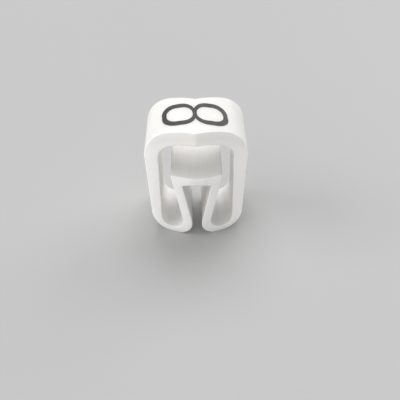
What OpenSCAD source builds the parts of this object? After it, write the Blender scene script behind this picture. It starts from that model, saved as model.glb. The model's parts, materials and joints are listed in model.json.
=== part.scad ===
// Slip-on cable marker: a short length of soft extruded sleeve, cut to an arrow shape at both ends.
// The wire lies along Y, between the label face above and a folded-in spring web below.
// Millimetres, +Z up. The origin is under the middle of the marker, on the plane of its two feet.

/* [Body] */
// Width across the shoulders, where the sleeve is widest
body_w = 4.8; // [4.5:0.1:5.6]
// Height from the feet to the middle of the label face
body_h = 6.1; // [5.7:0.1:7]
// Length along the wire, from the front cut to the rear cut
body_l = 3; // [2:0.1:8]
// Angle of the arrow-shaped end cuts to a square cut
cut_angle = 18; // [6:1:30]

/* [Label face] */
// Thickness of the label face at its middle
face_t = 0.72; // [0.5:0.02:0.9]
// Radius of the gentle crown across the label face
crown_r = 4.5; // [3.5:0.1:12]
// Outer radius of the shoulders beside the label face
shoulder_r = 1.6; // [1:0.05:2]

/* [Side walls] */
// Thickness of the side walls at the shoulders
side_t = 0.66; // [0.5:0.02:0.8]
// How far the heels, where the side walls turn under, stand in from the shoulders
heel_inset = 0.15; // [0:0.01:0.26]
// Outer radius of the heels
heel_r = 1.1; // [0.9:0.05:1.2]

/* [Wire chamber] */
// Radius of the chamber's ceiling
ceiling_r = 3.4; // [2.6:0.1:9]
// Radius of the chamber's upper corners
chamber_r = 0.8; // [0.4:0.05:1.1]

/* [Spring web] */
// Height of the web's upper face above the feet
web_z = 3.53; // [3.1:0.01:3.9]
// Thickness of the web at its middle
web_t = 0.38; // [0.26:0.02:0.5]
// Radius of the arch under the web
arch_r = 1.6; // [1.2:0.1:6]
// Radius of the web's upper corners
web_corner_r = 0.08; // [0.04:0.02:0.16]

/* [Arms and curls] */
// Thickness of the two arms that carry the web
arm_t = 0.44; // [0.3:0.02:0.56]
// Outward lean of the arms from the vertical
arm_lean = 11.5; // [7:0.5:15]
// Narrowest gap between the arms, at the mouth of the slot
slot_w = 0.46; // [0.2:0.02:0.6]
// Radius of the lips that turn into the slot
lip_r = 0.75; // [0.6:0.05:0.85]
// Thickness of the floor under each pocket
floor_t = 0.3; // [0.2:0.02:0.4]
// Depth by which the round curls are flattened where they stand
foot_flat = 0.02; // [0.01:0.01:0.06]

/* [Hidden] */
$fn = 96;
// Overlap that carries a cut clear of the surface it opens
over = 1;
// Depth by which an arc stands proud of the face it runs into, so that the two join cleanly
blend = 0.0001;
// Shoulders and heels of the outside, on the +X side
body_x = body_w / 2;
shoulder_c = shoulder_centre(body_x, body_h, crown_r, shoulder_r);
heel_c = [body_x - heel_inset - heel_r, heel_r - foot_flat];
// Inner faces of the walls, and the chamber's upper corner
wall_x = body_x - side_t;
ceiling_z = body_h - face_t;
chamber_c = shoulder_centre(wall_x, ceiling_z, ceiling_r, chamber_r);
// The +X arm: its direction across the wall, the centre of its lip and its outer face
arm_n = [cos(arm_lean), -sin(arm_lean)];
lip_c = [slot_w / 2 + lip_r, lip_r - foot_flat];
arm_outside = arm_t - lip_r;
// The pocket's round bottom touches the side wall, the floor and the arm
pocket_reach = [wall_x, floor_t] - lip_c;
pocket_r = (pocket_reach * arm_n - arm_outside) / (1 + arm_n[0] - arm_n[1]);
pocket_c = [wall_x - pocket_r, floor_t + pocket_r];
// The web's upper corner lies inside the arm's outer face
web_corner_z = web_z - web_corner_r;
web_corner_c = [arm_x(web_corner_z, arm_outside - web_corner_r), web_corner_z];
slot_top = web_z - web_t;
// Slope of the end cuts, and the sleeve's reach along the wire
cut_slope = tan(cut_angle);
reach = body_l + body_x * cut_slope;

// Centre of the arc that runs smoothly from a crown arc into an upright wall
function shoulder_centre(half_w, top_z, top_r, r) =
    [half_w - r, top_z - top_r + sqrt(pow(top_r - r, 2) - pow(half_w - r, 2))];

// Outward direction of the straight wall that runs smoothly from an upper arc into a lower one
function wall_normal(upper_c, upper_r, lower_c, lower_r) =
    let (d = upper_c - lower_c)
    let (a = atan2(d[1], d[0]) - acos((lower_r - upper_r) / norm(d)))
    [cos(a), sin(a)];

// Sideways place, at height z, of a line along the arm at a distance from the lip's centre
function arm_x(z, distance) =
    lip_c[0] + (distance + (z - lip_c[1]) * sin(arm_lean)) / cos(arm_lean);

function mirrored(p) = [-p[0], p[1]];

// Draws a shape in X and Z, and runs it along the wire past both ends of the marker
module along_wire() {
    rotate([90, 0, 0]) linear_extrude(reach + 2 * over, center = true) children();
}

// Bar of a closed outline, from the +X half of its points, listed from the top down
module symmetric_bar(half) {
    last = len(half) - 1;
    along_wire() polygon([each half, for (i = [last:-1:0]) mirrored(half[i])]);
}

module round_bar(centre, r) {
    along_wire() translate(centre) circle(r);
}

module both_sides() {
    children();
    mirror([1, 0, 0]) children();
}

// Bar with a crowned top, round upper corners, straight sides and round lower corners
module crowned_bar(top_z, top_r, upper_c, upper_r, lower_c, lower_r) {
    crown_c = [0, top_z - top_r];
    crown_n = (upper_c - crown_c) / norm(upper_c - crown_c);
    side_n = wall_normal(upper_c, upper_r, lower_c, lower_r);
    symmetric_bar([
        upper_c + (upper_r - blend) * crown_n,
        upper_c + (upper_r - blend) * side_n,
        lower_c + (lower_r - blend) * side_n,
        lower_c - [0, lower_r - blend]
    ]);
    both_sides() {
        round_bar(upper_c, upper_r);
        round_bar(lower_c, lower_r);
    }
    intersection() {
        round_bar(crown_c, top_r - blend);
        symmetric_bar([crown_c + (top_r + over) * crown_n, crown_c]);
    }
}

// The web with its two arms, down to the floors of the pockets
module tongue() {
    corner = web_corner_r - blend;
    symmetric_bar([
        web_corner_c + [0, corner],
        web_corner_c + corner * arm_n,
        pocket_c - (pocket_r - blend) * arm_n,
        pocket_c,
        [pocket_c[0], floor_t - over]
    ]);
    both_sides() round_bar(web_corner_c, web_corner_r);
}

// Upper chamber for the wire, and a pocket beside each arm
module cavity() {
    difference() {
        crowned_bar(ceiling_z, ceiling_r, chamber_c, chamber_r, pocket_c, pocket_r);
        tongue();
    }
    both_sides() round_bar(pocket_c, pocket_r);
}

// Slot between the arms, widening upwards to the arch under the web
module slot() {
    slot_side = blend - lip_r;
    intersection() {
        symmetric_bar([
            [arm_x(slot_top, slot_side), slot_top],
            [arm_x(lip_c[1], slot_side), lip_c[1]]
        ]);
        round_bar([0, slot_top - arch_r], arch_r);
    }
}

// Flared mouth of the slot, between the two round lips
module mouth() {
    difference() {
        symmetric_bar([lip_c - (lip_r - blend) * arm_n, lip_c, [lip_c[0], -over]]);
        both_sides() round_bar(lip_c, lip_r);
    }
}

// The extruded sleeve before it is cut to length
module extrusion() {
    difference() {
        crowned_bar(body_h, crown_r, shoulder_c, shoulder_r, heel_c, heel_r);
        cavity();
        slot();
        mouth();
    }
}

// Space of one marker above its feet, between two arrow-shaped cuts that point to -Y
module marker_length() {
    nose = -reach / 2;
    side_x = body_x + over;
    side_y = nose + side_x * cut_slope;
    linear_extrude(body_h + over) polygon([
        [0, nose],
        [side_x, side_y],
        [side_x, side_y + body_l],
        [0, nose + body_l],
        [-side_x, side_y + body_l],
        [-side_x, side_y]
    ]);
}

module marker_sleeve() {
    color([0.93, 0.93, 0.91])
    intersection() {
        extrusion();
        marker_length();
    }
}

marker_sleeve();
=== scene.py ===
"""Slip-on cable marker: a soft white sleeve with one printed digit, on a studio floor."""

import json
from math import acos, asin, atan2, ceil, cos, pi, radians, sin, sqrt, tan
from types import SimpleNamespace
from typing import NamedTuple
import bmesh
import bpy
from bpy.props import FloatProperty, FloatVectorProperty, PointerProperty
from mathutils import Euler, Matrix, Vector

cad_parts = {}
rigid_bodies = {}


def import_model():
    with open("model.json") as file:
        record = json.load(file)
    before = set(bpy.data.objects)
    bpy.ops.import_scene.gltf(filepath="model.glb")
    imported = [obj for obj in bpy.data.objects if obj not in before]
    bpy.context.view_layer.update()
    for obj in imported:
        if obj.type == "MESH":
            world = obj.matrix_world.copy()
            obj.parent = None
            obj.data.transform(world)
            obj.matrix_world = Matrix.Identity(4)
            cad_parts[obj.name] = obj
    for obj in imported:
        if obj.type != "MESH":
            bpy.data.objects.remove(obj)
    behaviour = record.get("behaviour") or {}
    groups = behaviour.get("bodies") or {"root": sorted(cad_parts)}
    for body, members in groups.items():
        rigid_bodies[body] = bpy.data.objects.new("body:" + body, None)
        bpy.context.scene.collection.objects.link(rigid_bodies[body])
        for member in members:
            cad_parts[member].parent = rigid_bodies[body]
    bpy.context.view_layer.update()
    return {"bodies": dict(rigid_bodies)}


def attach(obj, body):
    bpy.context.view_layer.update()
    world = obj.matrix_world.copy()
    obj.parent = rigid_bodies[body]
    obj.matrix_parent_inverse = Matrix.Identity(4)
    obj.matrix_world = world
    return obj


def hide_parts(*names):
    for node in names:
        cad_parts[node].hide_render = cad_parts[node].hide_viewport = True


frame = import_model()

bl_info = {
    "name": "Cable Marker",
    "version": (1, 0, 0),
    "blender": (4, 5, 0),
    "location": "View3D > Sidebar > Cable Marker",
    "description": "Models a slip-on cable marker with its printed digit and sets a small studio round it",
    "category": "Add Mesh",
}

# The part is one body, with one node that the sleeve stands for.
(BODY,) = frame["bodies"]
NODE = "marker_sleeve"
SLEEVE_PIECE = "sleeve_skin"
DIGIT_PIECE = "printed_digit"

# The pieces are drawn in millimetres, where Blender's own tolerances fit them, and end in metres.
MM = 0.001
# Points closer together than this, in millimetres, are one point.
SNAP = 0.0004
# Edges that turn by more than this stay sharp to the eye.
SHARP = radians(40)
BLACK = (0.0, 0.0, 0.0, 1.0)


def length(name, description, default):
    """A size in metres that the sidebar shows as a length."""
    return FloatProperty(name=name, description=description, default=default, unit="LENGTH", precision=6)


def angle(name, description, degrees):
    """An angle, given here in degrees."""
    return FloatProperty(name=name, description=description, default=radians(degrees), unit="ROTATION")


def colour(name, description, default):
    """A linear colour with a swatch in the sidebar."""
    return FloatVectorProperty(
        name=name, description=description, default=default, subtype="COLOR", size=3, min=0, max=1
    )


def amount(name, description, default):
    """A plain number that can't be negative."""
    return FloatProperty(name=name, description=description, default=default, min=0, precision=4)


class SleeveSettings(bpy.types.PropertyGroup):
    """Sizes and colours of the extruded sleeve."""

    body_w: length("Width", "Width across the shoulders", 4.8 * MM)
    body_h: length("Height", "Height from the feet to the middle of the label face", 6.1 * MM)
    body_l: length("Length", "Length along the wire, from the front cut to the rear cut", 3.0 * MM)
    cut_angle: angle("Cut angle", "Angle of the arrow-shaped end cuts to a square cut", 18)
    face_t: length("Face thickness", "Thickness of the label face at its middle", 0.72 * MM)
    crown_r: length("Crown radius", "Radius of the gentle crown across the label face", 4.5 * MM)
    shoulder_r: length("Shoulder radius", "Outer radius beside the label face", 1.6 * MM)
    side_t: length("Wall thickness", "Thickness of the side walls at the shoulders", 0.66 * MM)
    heel_inset: length("Heel inset", "How far the heels stand in from the shoulders", 0.15 * MM)
    heel_r: length("Heel radius", "Outer radius where the side walls turn under", 1.1 * MM)
    ceiling_r: length("Ceiling radius", "Radius of the wire chamber's ceiling", 3.4 * MM)
    chamber_r: length("Chamber corners", "Radius of the wire chamber's upper corners", 0.8 * MM)
    web_z: length("Web height", "Height of the spring web's upper face", 3.53 * MM)
    web_t: length("Web thickness", "Thickness of the spring web at its middle", 0.38 * MM)
    arch_r: length("Arch radius", "Radius of the arch under the web", 1.6 * MM)
    web_corner_r: length("Web corners", "Radius of the web's upper corners", 0.08 * MM)
    arm_t: length("Arm thickness", "Thickness of the arms that carry the web", 0.44 * MM)
    arm_lean: angle("Arm lean", "Outward lean of the arms from the vertical", 11.5)
    slot_w: length("Slot width", "Narrowest gap between the arms", 0.46 * MM)
    lip_r: length("Lip radius", "Radius of the lips that turn into the slot", 0.75 * MM)
    floor_t: length("Pocket floor", "Thickness of the floor under each pocket", 0.3 * MM)
    foot_flat: length("Foot flat", "Depth by which the curls are flattened where they stand", 0.02 * MM)
    web_tip: length("Web tip", "Distance from the middle over which the web's cut ends are bowed", 0.5 * MM)
    cut_edge: length("Cut edge", "Width of the softened edge round each end cut", 0.06 * MM)
    mark_depth: length("Mark depth", "Depth of the die lines and the knife marks", 0.015 * MM)
    scatter: length("Scatter", "How far light travels inside the vinyl", 0.8 * MM)
    pvc: colour("Vinyl", "Colour of the soft vinyl", (0.90, 0.885, 0.86))
    cut: colour("Cut face", "Colour of the vinyl where the knife has passed", (0.945, 0.926, 0.898))
    # The cut start colour is a painted shade: the cut is drawn darker just under the label face.
    cut_start: colour("Cut start", "Colour of the cut just under the label face", (0.85, 0.831, 0.807))
    # The cut rim colour is a painted highlight along the cut's edges.
    rim: colour("Cut rim", "Colour of the stretched vinyl along the cut's edges", (0.97, 0.957, 0.935))


class DigitSettings(bpy.types.PropertyGroup):
    """Sizes and colours of the printed digit."""

    loop_x: length("Loop height", "Half the outer height of each loop, across the label face", 0.763 * MM)
    loop_y: length("Loop width", "Half the outer width of each loop, along the wire", 0.903 * MM)
    loop_at: length("Loop offset", "Distance of each loop's centre from the digit's waist", 0.734 * MM)
    loop_r: length("Loop corners", "Radius of each loop's round corners, across the face", 0.61 * MM)
    bar: length("Bar", "Width of the printed line where it runs along the wire", 0.205 * MM)
    waist: length("Waist", "Width of the printed line between the two loops", 0.19 * MM)
    stem: length("Stem", "Width of the printed line where it runs across the face", 0.33 * MM)
    hole_r: length("Hole corners", "Radius of the round corners inside each loop", 0.44 * MM)
    slant: angle("Slant", "Lean of the printed bars against the wire", 5.9)
    turn: angle("Turn", "Turn of the whole digit on the face", -1.8)
    aside: length("Aside", "How far the digit is printed off the middle of the face", -0.035 * MM)
    behind_nose: length("Place", "Distance of the digit's middle behind the front point", 1.69 * MM)
    film: length("Ink film", "Thickness of the ink on the face", 0.01 * MM)
    ink: colour("Ink", "Colour of the printing ink", (0.035, 0.034, 0.036))
    ink_thin: colour("Thin ink", "Colour where the ink lies thin", (0.085, 0.084, 0.086))


class StageSettings(bpy.types.PropertyGroup):
    """Floor, lights and camera."""

    floor_r: length("Floor radius", "Radius of the round floor", 0.4)
    floor_t: length("Floor thickness", "Thickness of the board that makes the floor", 0.01)
    floor: colour("Floor", "Colour of the floor", (0.497, 0.497, 0.497))
    backdrop: colour("Backdrop", "Colour of the studio behind the floor", (0.62, 0.62, 0.62))
    sky: colour("Surround", "Colour of the even light from all round", (1.0, 1.0, 1.0))
    sky_strength: amount("Surround strength", "Brightness of the even light from all round", 0.4)
    light_far: length("Light distance", "Distance of the soft lights from the marker", 1.2)
    left_light: amount("Left light", "Power of the soft light on the left, in watts", 5.6)
    corner_light: amount("Corner light", "Power of the soft light in front on the left, in watts", 2.36)
    front_light: amount("Front light", "Power of the low soft light in front, in watts", 3.12)
    right_light: amount("Right light", "Power of the soft light behind on the right, in watts", 4.44)
    back_light: amount("Back light", "Power of the soft light high behind, in watts", 6.72)
    azimuth: angle("Azimuth", "Turn of the camera round the marker", 0.47)
    elevation: angle("Elevation", "Height of the camera as an angle above the floor", 40.25)
    roll: angle("Roll", "Roll of the camera about its own line of sight", -0.6)
    place: FloatVectorProperty(
        name="Place",
        description="Place of the camera",
        default=(-0.015 * MM, -21.92 * MM, 19.322 * MM),
        subtype="TRANSLATION",
        size=3,
    )
    lens: FloatProperty(name="Lens", description="Focal length of the camera", default=49.86, unit="CAMERA")


class MarkerSettings(bpy.types.PropertyGroup):
    """All the settings of the cable marker and its studio."""

    sleeve: PointerProperty(type=SleeveSettings)
    digit: PointerProperty(type=DigitSettings)
    stage: PointerProperty(type=StageSettings)


def in_mm(settings):
    """The lengths of a group of settings in millimetres, under their own names."""
    rna = settings.bl_rna.properties
    keys = [key for key in settings.__annotations__ if rna[key].unit == "LENGTH"]
    return SimpleNamespace(**{key: getattr(settings, key) / MM for key in keys})


def front_point(sleeve):
    """Place of the sleeve's front point along the wire, in millimetres."""
    size = in_mm(sleeve)
    return -(size.body_l + size.body_w / 2 * tan(sleeve.cut_angle)) / 2


class Flow:
    """A socket's value; arithmetic on it adds Math nodes."""

    def __init__(self, shade, socket):
        self.shade = shade
        self.socket = socket

    def math(self, operation, *values):
        """Adds one Math node."""
        return self.shade.node("ShaderNodeMath", {"operation": operation}, dict(enumerate(values)))

    def __add__(self, other):
        return self.math("ADD", self, other)

    def __sub__(self, other):
        return self.math("SUBTRACT", self, other)

    def __rsub__(self, other):
        return self.math("SUBTRACT", other, self)

    def __mul__(self, other):
        return self.math("MULTIPLY", self, other)

    def __truediv__(self, other):
        return self.math("DIVIDE", self, other)

    def __rtruediv__(self, other):
        return self.math("DIVIDE", other, self)

    def __pow__(self, other):
        return self.math("POWER", self, other)

    def __rpow__(self, other):
        return self.math("POWER", other, self)

    def __abs__(self):
        return self.math("ABSOLUTE", self)

    __radd__ = __add__
    __rmul__ = __mul__


class Shade:
    """The nodes of one material or world, written as expressions on their sockets."""

    def __init__(self, owner):
        self.owner = owner
        owner.use_nodes = True
        self.tree = owner.node_tree
        self.tree.nodes.clear()

    def node(self, kind, settings=None, inputs=None, output=0):
        """Adds a node, sets it up, feeds its sockets and gives one of its outputs."""
        made = self.tree.nodes.new(kind)
        for key, value in (settings or {}).items():
            setattr(made, key, value)
        for key, value in (inputs or {}).items():
            if isinstance(value, Flow):
                self.tree.links.new(value.socket, made.inputs[key])
            else:
                made.inputs[key].default_value = value
        return Flow(self, made.outputs[output]) if made.outputs else None

    def place(self):
        """The point on the object, in millimetres."""
        point = self.node("ShaderNodeTexCoord", output="Object")
        return self.node("ShaderNodeVectorMath", {"operation": "SCALE"}, {0: point, "Scale": 1 / MM})

    def facing(self):
        """The direction that the surface faces, in the object's own axes."""
        return self.node("ShaderNodeTexCoord", output="Normal")

    def parts(self, vector):
        """The three parts of a vector."""
        split = self.node("ShaderNodeSeparateXYZ", inputs={0: vector})
        return [Flow(self, socket) for socket in split.socket.node.outputs]

    def stretch(self, vector, factors):
        """A vector with each of its parts scaled."""
        return self.node("ShaderNodeVectorMath", {"operation": "MULTIPLY"}, {0: vector, 1: factors})

    def noise(self, vector, cells=1.0, detail=2.0, roughness=0.5):
        """Noise round 0.5, with so many cells in one unit of the vector."""
        inputs = {"Vector": vector, "Scale": cells, "Detail": detail, "Roughness": roughness}
        return self.node("ShaderNodeTexNoise", inputs=inputs)

    def least(self, first, second):
        """The smaller of two values."""
        return self.node("ShaderNodeMath", {"operation": "MINIMUM"}, {0: first, 1: second})

    def ramp(self, value, low, high):
        """0 below low, 1 above high, and a smooth step between them."""
        inputs = {"Value": value, "From Min": low, "From Max": high}
        return self.node("ShaderNodeMapRange", {"interpolation_type": "SMOOTHSTEP"}, inputs)

    def mix(self, factor, first, second):
        """A colour between two colours."""
        return self.node("ShaderNodeMix", {"data_type": "RGBA"}, {0: factor, 6: first, 7: second}, 2)

    def bump(self, height, distance, strength):
        """A normal that follows a height."""
        inputs = {"Height": height, "Distance": distance, "Strength": strength}
        return self.node("ShaderNodeBump", inputs=inputs)

    def surface(self, inputs):
        """The finished material, with a Principled shader."""
        shader = self.node("ShaderNodeBsdfPrincipled", inputs=inputs)
        self.node("ShaderNodeOutputMaterial", inputs={"Surface": shader})
        return self.owner


def opaque(rgb, level=1.0):
    """A colour for a socket, darkened where the level is under 1."""
    return (*(level * part for part in rgb), 1.0)


def vinyl(sleeve):
    """Soft white vinyl with die lines along the wire; the cuts are knife-marked, with a painted highlight
    along their rims and painted shade just under the label face.
    """
    size = in_mm(sleeve)
    shade = Shade(bpy.data.materials.new("soft_vinyl"))
    point = shade.place()
    x, y, z = shade.parts(point)

    # The knife's own finish covers both cuts, and gives way inside the softened edge round them.
    into = y - abs(x) * tan(sleeve.cut_angle) - front_point(sleeve)
    from_cut = shade.least(into, size.body_l - into)
    on_cut = 1 - shade.ramp(from_cut, 0.2 * size.cut_edge, 0.75 * size.cut_edge)

    # This turn is 1 on a cut and 0 on the extruded faces, so the rim, where a painted highlight lies, is
    # where it is neither.
    turn = abs(shade.parts(shade.facing())[1]) / cos(sleeve.cut_angle)
    rim_highlight_mask = shade.ramp(turn * (1 - turn), 0.04, 0.2)

    # Painted shade darkens the cut near the label face and fades out towards the chamber's ceiling, where the
    # cut keeps its paler colour.
    up = z - (size.body_h - size.face_t - size.ceiling_r)
    above_ceiling = (x * x + up * up) ** 0.5 - size.ceiling_r
    painted_shade_mask = shade.ramp(above_ceiling, 0.0, 0.65 * size.face_t)

    # Die lines run along the wire, and knife marks down the cut, so each is noise with stretched cells.
    cloud = shade.noise(point, cells=0.55, detail=3.0)
    lines = shade.noise(shade.stretch(point, (15.0, 0.35, 15.0)), detail=3.0, roughness=0.6)
    knife = shade.noise(shade.stretch(point, (16.0, 3.0, 1.1)), detail=3.0, roughness=0.6)
    grain = shade.noise(point, cells=24.0)

    streaked = shade.ramp(cloud * 0.4 + lines * 0.6, 0.38, 0.66)
    body = shade.mix(streaked, opaque(sleeve.pvc), opaque(sleeve.pvc, 0.955))
    # Painted shade: the cut is darker just under the label face.
    cut_with_painted_shade = shade.mix(painted_shade_mask, opaque(sleeve.cut), opaque(sleeve.cut_start))
    scored = shade.mix(knife * 0.06, cut_with_painted_shade, BLACK)
    marks = lines * (1 - on_cut) * 0.7 + knife * on_cut + grain * 0.12
    return shade.surface({
        # The rims get a painted highlight in the base colour.
        "Base Color": shade.mix(rim_highlight_mask, shade.mix(on_cut, body, scored), opaque(sleeve.rim)),
        "Roughness": 0.34 + lines * 0.1 + on_cut * 0.16 + grain * 0.04 - rim_highlight_mask * 0.1,
        "Normal": shade.bump(marks, sleeve.mark_depth, 0.8),
        "IOR": 1.53,
        "Subsurface Weight": 0.5,
        "Subsurface Radius": (1.0, 0.95, 0.85),
        "Subsurface Scale": sleeve.scatter,
    })


def printing_ink(digit):
    """Dark ink, a little thinner in places, with a dry satin surface."""
    shade = Shade(bpy.data.materials.new("printing_ink"))
    point = shade.place()
    thin = shade.ramp(shade.noise(point, cells=4.0, detail=4.0, roughness=0.6), 0.35, 0.75)
    specks = shade.noise(point, cells=38.0)
    return shade.surface({
        "Base Color": shade.mix(thin * 0.7 + specks * 0.2, opaque(digit.ink), opaque(digit.ink_thin)),
        "Roughness": 0.42 + thin * 0.14,
        "Normal": shade.bump(specks, 0.3 * digit.film, 0.5),
        "IOR": 1.45,
    })


def pale_board(stage):
    """Plain pale studio floor, nearly matt."""
    shade = Shade(bpy.data.materials.new("pale_board"))
    point = shade.place()
    mottle = shade.noise(point, cells=0.05)
    return shade.surface({
        "Base Color": shade.mix(mottle, opaque(stage.floor), opaque(stage.floor, 0.99)),
        "Roughness": 0.62 + shade.noise(point, cells=0.9) * 0.06,
        "Specular IOR Level": 0.3,
    })


def deselect_all():
    """Goes to object mode with nothing selected."""
    if bpy.context.mode != "OBJECT":
        bpy.ops.object.mode_set(mode="OBJECT")
    bpy.ops.object.select_all(action="DESELECT")


def select_faces(test):
    """Selects the faces of the mesh being edited whose place and normal pass a test, and counts them."""
    mesh = bpy.context.edit_object.data
    edit = bmesh.from_edit_mesh(mesh)
    bpy.ops.mesh.select_all(action="DESELECT")
    bpy.ops.mesh.select_mode(type="FACE")
    chosen = [face for face in edit.faces if test(face.calc_center_median(), face.normal)]
    for face in chosen:
        face.select = True
    bmesh.update_edit_mesh(mesh)
    return len(chosen)


def select_nearest(*places):
    """Selects the vertices of the mesh being edited that lie nearest to the given places."""
    mesh = bpy.context.edit_object.data
    edit = bmesh.from_edit_mesh(mesh)
    bpy.ops.mesh.select_all(action="DESELECT")
    bpy.ops.mesh.select_mode(type="VERT")
    for place in places:
        nearest = min(edit.verts, key=lambda vertex: (vertex.co - Vector(place)).length)
        nearest.select = True
    bmesh.update_edit_mesh(mesh)


def add_modifier(piece, kind, **settings):
    """Adds a modifier to the active piece, sets it and applies it."""
    modifier = piece.modifiers.new(kind.lower(), kind)
    for key, value in settings.items():
        setattr(modifier, key, value)
    bpy.ops.object.modifier_apply(modifier=modifier.name)


def to_metres(piece):
    """Scales the active piece, which was drawn in millimetres."""
    piece.scale = (MM, MM, MM)
    bpy.ops.object.transform_apply(location=True, rotation=True, scale=True)


def finish_piece(piece, material):
    """Gives a piece its material and lets it ride on the body."""
    piece.data.materials.append(material)
    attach(piece, BODY)


def heading(vector):
    """Direction of a pair, as an angle."""
    return atan2(vector[1], vector[0])


def towards(direction):
    """Pair of length 1 in a direction."""
    return Vector((cos(direction), sin(direction)))


class Arc(NamedTuple):
    """A circle that an outline follows for a while. Directions are angles from its centre."""

    centre: Vector
    r: float

    def point(self, direction):
        """Point of the circle in a direction."""
        return self.centre + self.r * towards(direction)


class Pen:
    """Draws outlines by extruding and spinning single vertices. Points are pairs in the plane of u and v."""

    # An arc's chords leave it by no more than the sag, in millimetres, and turn by no more than the step.
    sag = 0.0008
    widest_step = radians(9)

    def __init__(self, name, u, v):
        self.u = Vector(u)
        self.v = Vector(v)
        deselect_all()
        bpy.ops.object.add(type="MESH", location=(0, 0, 0))
        self.piece = bpy.context.object
        self.piece.name = name
        self.piece.data.name = name
        bpy.ops.object.mode_set(mode="EDIT")
        bpy.ops.mesh.select_mode(type="VERT")

    def space(self, pair):
        """The place or step in space of a pair."""
        return self.u * pair[0] + self.v * pair[1]

    def start(self, at):
        """Sets one new vertex down, from which the next outline is drawn."""
        self.at = Vector(at)
        bpy.ops.mesh.primitive_plane_add(size=1, location=self.space(self.at))
        bpy.ops.mesh.merge(type="CENTER")

    def line(self, end):
        """Draws straight to a point."""
        end = Vector(end)
        step = self.space(end - self.at)
        bpy.ops.mesh.extrude_region_move(TRANSFORM_OT_translate={"value": step})
        self.at = end

    def follow(self, arc, start, end):
        """Draws straight to an arc's start, unless the pen is there, and then round to its end."""
        if (arc.point(start) - self.at).length > SNAP:
            self.line(arc.point(start))
        step = min(self.widest_step, 2 * acos(1 - self.sag / arc.r))
        bpy.ops.mesh.spin(
            steps=ceil(abs(end - start) / step),
            angle=end - start,
            center=self.space(arc.centre),
            axis=self.v.cross(self.u),
        )
        self.at = arc.point(end)

    def rounded(self, centre, half_u, half_v, r):
        """Draws a rectangle with round corners, clockwise from its top left."""
        side = half_u - r
        rise = half_v - r
        corners = [Vector(centre) + Vector(pair) for pair in (
            (side, rise), (side, -rise), (-side, -rise), (-side, rise),
        )]
        self.start(corners[-1] + Vector((0, r)))
        for quarter, corner in enumerate(corners):
            start = (1 - quarter) * pi / 2
            self.follow(Arc(corner, r), start, start - pi / 2)

    def join(self):
        """Joins the ends of the outlines where they meet, and selects all of them."""
        bpy.ops.mesh.select_all(action="SELECT")
        bpy.ops.mesh.remove_doubles(threshold=SNAP)
        bpy.ops.mesh.select_all(action="SELECT")


def corner_arc(half_w, crown, r):
    """Arc that runs smoothly from a crown arc into an upright wall."""
    side = half_w - r
    return Arc(Vector((side, crown.centre.y + sqrt((crown.r - r) ** 2 - side**2))), r)


def wall_heading(upper, lower):
    """Outward direction of the straight wall between an upper and a lower arc."""
    apart = upper.centre - lower.centre
    return heading(apart) - acos((lower.r - upper.r) / apart.length)


class Section:
    """The +X half of the sleeve's cross-section: its arcs, in X and Z, and the directions of its walls."""

    def __init__(self, sleeve):
        size = in_mm(sleeve)
        self.top = size.body_h
        self.web_z = size.web_z
        self.lean = sleeve.arm_lean
        across = towards(-self.lean)
        along = towards(pi / 2 - self.lean)
        half_w = size.body_w / 2
        wall_x = half_w - size.side_t

        # Outside, from the label face down to the lip
        self.crown = Arc(Vector((0, self.top - size.crown_r)), size.crown_r)
        self.shoulder = corner_arc(half_w, self.crown, size.shoulder_r)
        heel_x = half_w - size.heel_inset - size.heel_r
        self.heel = Arc(Vector((heel_x, size.heel_r - size.foot_flat)), size.heel_r)
        self.side = wall_heading(self.shoulder, self.heel)
        self.lip = Arc(Vector((size.slot_w / 2 + size.lip_r, size.lip_r - size.foot_flat)), size.lip_r)

        # Wire chamber, and the pocket that touches the wall, the floor and the arm
        self.ceiling = Arc(Vector((0, self.top - size.face_t - size.ceiling_r)), size.ceiling_r)
        self.chamber = corner_arc(wall_x, self.ceiling, size.chamber_r)
        arm_outside = size.arm_t - size.lip_r
        pocket_w = (Vector((wall_x, size.floor_t)) - self.lip.centre).dot(across) - arm_outside
        pocket_r = pocket_w / (1 + across.x - across.y)
        self.pocket = Arc(Vector((wall_x - pocket_r, size.floor_t + pocket_r)), pocket_r)
        self.inner = wall_heading(self.chamber, self.pocket)

        # Upper corner of the web, and the arch over the slot
        corner_c = self.lip.centre + across * (arm_outside - size.web_corner_r)
        corner_c += along * ((self.web_z - size.web_corner_r - corner_c.y) / along.y)
        self.corner = Arc(corner_c, size.web_corner_r)
        self.arch = Arc(Vector((0, self.web_z - size.web_t - size.arch_r)), size.arch_r)
        slot_foot = self.lip.point(pi - self.lean)
        reach = slot_foot - self.arch.centre
        rise = reach.dot(along)
        self.slot_head = slot_foot + along * (sqrt(rise**2 - reach.length_squared + size.arch_r**2) - rise)


def tip_places(sleeve):
    """Places across the web, from the middle outwards, at which its cut ends are bowed."""
    steps = 5
    return [in_mm(sleeve).web_tip * (step + 1) / steps for step in range(steps)]


def draw_half_section(name, sleeve):
    """Draws the outline of the sleeve's +X half in the plane of X and Z."""
    half = Section(sleeve)
    into_shoulder = heading(half.shoulder.centre - half.crown.centre)
    into_chamber = heading(half.chamber.centre - half.ceiling.centre)
    heel_down = -asin(half.heel.centre.y / half.heel.r)
    lip_down = asin(half.lip.centre.y / half.lip.r) - pi
    slot_end = heading(half.slot_head - half.arch.centre)
    pen = Pen(name, (1, 0, 0), (0, 0, 1))
    pen.start((0, half.top))
    pen.follow(half.crown, pi / 2, into_shoulder)
    pen.follow(half.shoulder, into_shoulder, half.side)
    pen.follow(half.heel, half.side, heel_down)
    pen.follow(half.lip, lip_down, -half.lean - pi)
    pen.follow(half.arch, slot_end, pi / 2)
    pen.line((0, half.web_z))
    for x in tip_places(sleeve):
        pen.line((x, half.web_z))
    pen.follow(half.corner, pi / 2, -half.lean)
    pen.follow(half.pocket, pi - half.lean, 2 * pi + half.inner)
    pen.follow(half.chamber, half.inner, into_chamber)
    pen.follow(half.ceiling, into_chamber, pi / 2)
    pen.line((0, half.top))
    pen.join()
    return pen.piece


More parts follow.
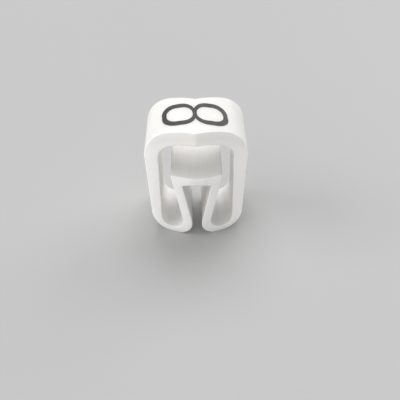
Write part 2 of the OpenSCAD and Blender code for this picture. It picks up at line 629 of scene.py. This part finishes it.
def cut_to_length(sleeve):
    """Extrudes the outline along the wire and cuts both ends to an arrow that points to -Y."""
    nose = front_point(sleeve)
    slope = tan(sleeve.cut_angle)
    waste = 1.0
    long = 2 * (waste - nose)
    bpy.ops.mesh.edge_face_add()
    bpy.ops.transform.translate(value=(0, -long / 2, 0))
    bpy.ops.mesh.extrude_region_move(TRANSFORM_OT_translate={"value": (0, long, 0)})
    for place, outward in ((nose, -1), (nose + in_mm(sleeve).body_l, 1)):
        bpy.ops.mesh.select_all(action="SELECT")
        bpy.ops.mesh.bisect(
            plane_co=(0, place, 0),
            plane_no=(-outward * slope, outward, 0),
            use_fill=True,
            clear_outer=True,
            threshold=SNAP,
        )


def bow_web_ends(sleeve):
    """Bows the tip of the web at both cuts, where the soft web gave way to the knife."""
    size = in_mm(sleeve)
    nose = front_point(sleeve)
    slope = tan(sleeve.cut_angle)
    faces_z = (size.web_z, size.web_z - size.web_t)
    for place in (nose, nose + size.body_l):
        for x in tip_places(sleeve):
            select_nearest(*((x, place + slope * x, z) for z in faces_z))
            bpy.ops.mesh.vert_connect()
        select_nearest(*((0, place, z) for z in faces_z))
        # This falloff turns the point of the cut into a parabola that runs into its two sides.
        bpy.ops.transform.translate(
            value=(0, slope * size.web_tip / 2, 0),
            use_proportional_edit=True,
            proportional_edit_falloff="SHARP",
            proportional_size=size.web_tip / cos(sleeve.cut_angle),
        )


def join_halves(piece):
    """Opens the half sleeve on the middle plane, mirrors it and turns all its faces outwards."""
    if select_faces(lambda at, normal: abs(at.x) < SNAP) != 2:
        raise RuntimeError("the half sleeve doesn't end on the middle plane in two faces")
    bpy.ops.mesh.delete(type="ONLY_FACE")
    bpy.ops.object.mode_set(mode="OBJECT")
    add_modifier(piece, "MIRROR", use_mirror_merge=True, merge_threshold=SNAP)
    bpy.ops.object.mode_set(mode="EDIT")
    bpy.ops.mesh.select_all(action="SELECT")
    bpy.ops.mesh.normals_make_consistent(inside=False)
    bpy.ops.object.mode_set(mode="OBJECT")


def soften_cuts(piece, width):
    """Rounds the edges of the cuts, and smooths what isn't an edge."""
    add_modifier(
        piece, "BEVEL",
        width=width,
        segments=3,
        limit_method="ANGLE",
        angle_limit=radians(30),
    )
    bpy.ops.object.shade_smooth_by_angle(angle=SHARP)
    add_modifier(piece, "WEIGHTED_NORMAL", keep_sharp=True, weight=60)


class CABLE_MARKER_OT_sleeve(bpy.types.Operator):
    """Extrude the sleeve's section, cut both ends to an arrow and soften the cut edges"""

    bl_idname = "cable_marker.sleeve"
    bl_label = "Sleeve"

    def execute(self, context):
        sleeve = context.scene.cable_marker.sleeve
        piece = draw_half_section(SLEEVE_PIECE, sleeve)
        cut_to_length(sleeve)
        bow_web_ends(sleeve)
        join_halves(piece)
        soften_cuts(piece, in_mm(sleeve).cut_edge)
        to_metres(piece)
        finish_piece(piece, vinyl(sleeve))
        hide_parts(NODE)
        return {"FINISHED"}


def draw_digit(name, digit):
    """Draws the digit's outline and its two holes, with loops as wide as they are high."""
    size = in_mm(digit)
    r = size.loop_r
    flat = size.loop_x - r
    near = size.loop_at - flat
    far = size.loop_at + flat
    notch = Vector((0, flat + sqrt(r**2 - near**2)))
    into_loop = heading(notch - Vector((near, flat)))
    corners = (
        ((near, flat), into_loop, pi / 2),
        ((far, flat), pi / 2, 0),
        ((far, -flat), 0, -pi / 2),
        ((near, -flat), -pi / 2, -into_loop),
    )
    pen = Pen(name, (1, 0, 0), (0, 1, 0))
    pen.start(notch)
    for side, half_turn in ((1, 0), (-1, pi)):
        for corner, start, end in corners:
            pen.follow(Arc(side * Vector(corner), r), start + half_turn, end + half_turn)
    hole_start = size.waist / 2
    hole_end = size.loop_at + size.loop_x - size.bar
    hole_u = (hole_end - hole_start) / 2
    hole_v = (size.loop_y - size.stem) * size.loop_x / size.loop_y
    for side in (1, -1):
        pen.rounded((side * (hole_start + hole_u), 0), hole_u, hole_v, size.hole_r)
    pen.join()
    return pen.piece


def skew_and_stretch(slant, stretch, turn):
    """Leans what is selected against Y by a slant, stretches it along Y and turns it, all about the origin.

    Such a lean is a turn, a stretch along X and Y, and a second turn.
    """
    lean = -tan(slant) * stretch
    even = Vector(((1 + stretch) / 2, -lean / 2))
    odd = Vector(((1 - stretch) / 2, lean / 2))
    first = (heading(even) - heading(odd)) / 2
    second = (heading(even) + heading(odd)) / 2
    long = even.length + odd.length
    short = even.length - odd.length
    origin = (0, 0, 0)
    # The operator turns clockwise as seen from above.
    bpy.ops.transform.rotate(value=-first, orient_axis="Z", center_override=origin)
    bpy.ops.transform.resize(value=(long, short, 1), center_override=origin)
    bpy.ops.transform.rotate(value=-second - turn, orient_axis="Z", center_override=origin)


class CABLE_MARKER_OT_digit(bpy.types.Operator):
    """Draw the digit flat, lay it on the label face and give it the thickness of an ink film"""

    bl_idname = "cable_marker.digit"
    bl_label = "Printed digit"

    def execute(self, context):
        settings = context.scene.cable_marker
        digit = settings.digit
        size = in_mm(digit)
        skin = bpy.data.objects.get(SLEEVE_PIECE)
        if skin is None:
            raise RuntimeError("the digit needs the sleeve under it")
        piece = draw_digit(DIGIT_PIECE, digit)
        bpy.ops.mesh.fill(use_beauty=True)
        bpy.ops.mesh.select_all(action="SELECT")
        bpy.ops.mesh.subdivide(number_cuts=2)
        skew_and_stretch(digit.slant, size.loop_y / size.loop_x, digit.turn)
        middle = front_point(settings.sleeve) + size.behind_nose
        above = 1.2 * in_mm(settings.sleeve).body_h
        bpy.ops.transform.translate(value=(size.aside, middle, above))
        if select_faces(lambda at, normal: normal.z < 0):
            bpy.ops.mesh.flip_normals()
        bpy.ops.object.mode_set(mode="OBJECT")
        # The skin is in metres by now, so the digit goes there before it is laid on.
        to_metres(piece)
        add_modifier(
            piece, "SHRINKWRAP",
            target=skin,
            wrap_method="PROJECT",
            use_project_z=True,
            use_negative_direction=True,
            use_positive_direction=False,
        )
        add_modifier(piece, "SOLIDIFY", thickness=digit.film, offset=0.8)
        bpy.ops.object.shade_smooth_by_angle(angle=SHARP)
        finish_piece(piece, printing_ink(digit))
        return {"FINISHED"}


def lay_floor(stage):
    """A round board whose upper face is the floor."""
    deselect_all()
    bpy.ops.mesh.primitive_circle_add(
        vertices=96, radius=stage.floor_r, fill_type="NGON", location=(0, 0, 0)
    )
    floor = bpy.context.object
    floor.name = "floor"
    bpy.ops.object.mode_set(mode="EDIT")
    bpy.ops.mesh.select_mode(type="FACE")
    bpy.ops.mesh.select_all(action="SELECT")
    bpy.ops.mesh.extrude_region_move(TRANSFORM_OT_translate={"value": (0, 0, -stage.floor_t)})
    bpy.ops.mesh.select_all(action="SELECT")
    bpy.ops.mesh.normals_make_consistent(inside=False)
    bpy.ops.object.mode_set(mode="OBJECT")
    floor.data.materials.append(pale_board(stage))


def surround(stage):
    """Even light from all round, in front of a plain backdrop."""
    shade = Shade(bpy.data.worlds.new("surround"))
    seen = shade.node("ShaderNodeLightPath", output="Is Camera Ray")
    sky = {"Color": opaque(stage.sky), "Strength": stage.sky_strength}
    light = shade.node("ShaderNodeBackground", inputs=sky)
    backdrop = shade.node("ShaderNodeBackground", inputs={"Color": opaque(stage.backdrop)})
    both = shade.node("ShaderNodeMixShader", inputs={0: seen, 1: light, 2: backdrop})
    shade.node("ShaderNodeOutputWorld", inputs={"Surface": both})
    return shade.owner


def soft_light(name, watts, far, azimuth, elevation, size):
    """An area light that shines at the marker, placed by its angles round it in degrees."""
    deselect_all()
    turn = Euler((radians(90 - elevation), 0, radians(azimuth)))
    place = turn.to_matrix() @ Vector((0, 0, far))
    bpy.ops.object.light_add(type="AREA", location=place, rotation=turn)
    light = bpy.context.object
    light.name = name
    light.data.shape = "RECTANGLE"
    light.data.size, light.data.size_y = size
    light.data.energy = watts
    light.visible_camera = False


def set_camera(scene, stage):
    """The camera, turned by its azimuth and elevation and then rolled."""
    deselect_all()
    bpy.ops.object.camera_add(location=stage.place)
    camera = bpy.context.object
    camera.name = "camera"
    turn = Euler((pi / 2 - stage.elevation, 0, -stage.azimuth)).to_matrix()
    roll = Euler((0, 0, stage.roll)).to_matrix()
    camera.rotation_euler = (turn @ roll).to_euler()
    camera.data.lens = stage.lens
    camera.data.sensor_width = 36
    camera.data.sensor_fit = "HORIZONTAL"
    camera.data.clip_start = 0.5 * MM
    camera.data.clip_end = 2
    scene.camera = camera


class CABLE_MARKER_OT_stage(bpy.types.Operator):
    """Lay the floor, hang the soft lights and set the camera"""

    bl_idname = "cable_marker.stage"
    bl_label = "Studio"

    def execute(self, context):
        scene = context.scene
        stage = scene.cable_marker.stage
        lay_floor(stage)
        scene.world = surround(stage)
        wide = 0.8
        # Power, angles round the marker in degrees, and height in metres
        for name, watts, azimuth, elevation, high in (
            ("left_softbox", stage.left_light, -90, 30, wide),
            ("corner_softbox", stage.corner_light, -45, 30, wide),
            ("front_softbox", stage.front_light, 0, 5, wide / 4),
            ("right_softbox", stage.right_light, 135, 30, wide),
            ("back_softbox", stage.back_light, 180, 60, wide),
        ):
            soft_light(name, watts, stage.light_far, azimuth, elevation, (wide, high))
        set_camera(scene, stage)
        scene.view_settings.view_transform = "Standard"
        return {"FINISHED"}


class CABLE_MARKER_PT_sidebar(bpy.types.Panel):
    """The marker's settings, with a button for each of its pieces"""

    bl_idname = "CABLE_MARKER_PT_sidebar"
    bl_label = "Cable Marker"
    bl_space_type = "VIEW_3D"
    bl_region_type = "UI"
    bl_category = "Cable Marker"

    def draw(self, context):
        settings = context.scene.cable_marker
        for group, operator in (
            (settings.sleeve, CABLE_MARKER_OT_sleeve),
            (settings.digit, CABLE_MARKER_OT_digit),
            (settings.stage, CABLE_MARKER_OT_stage),
        ):
            box = self.layout.box()
            box.operator(operator.bl_idname)
            for key in group.__annotations__:
                box.prop(group, key)


CLASSES = (
    SleeveSettings,
    DigitSettings,
    StageSettings,
    MarkerSettings,
    CABLE_MARKER_OT_sleeve,
    CABLE_MARKER_OT_digit,
    CABLE_MARKER_OT_stage,
    CABLE_MARKER_PT_sidebar,
)


def register():
    """Registers the settings, the operators and the panel."""
    for kind in CLASSES:
        bpy.utils.register_class(kind)
    bpy.types.Scene.cable_marker = PointerProperty(type=MarkerSettings)


def unregister():
    """Takes all of them away again, in the opposite order."""
    del bpy.types.Scene.cable_marker
    for kind in reversed(CLASSES):
        bpy.utils.unregister_class(kind)


def main():
    """Makes the marker and its studio."""
    register()
    bpy.ops.cable_marker.sleeve()
    bpy.ops.cable_marker.digit()
    bpy.ops.cable_marker.stage()
    deselect_all()


if __name__ == "__main__":
    main()
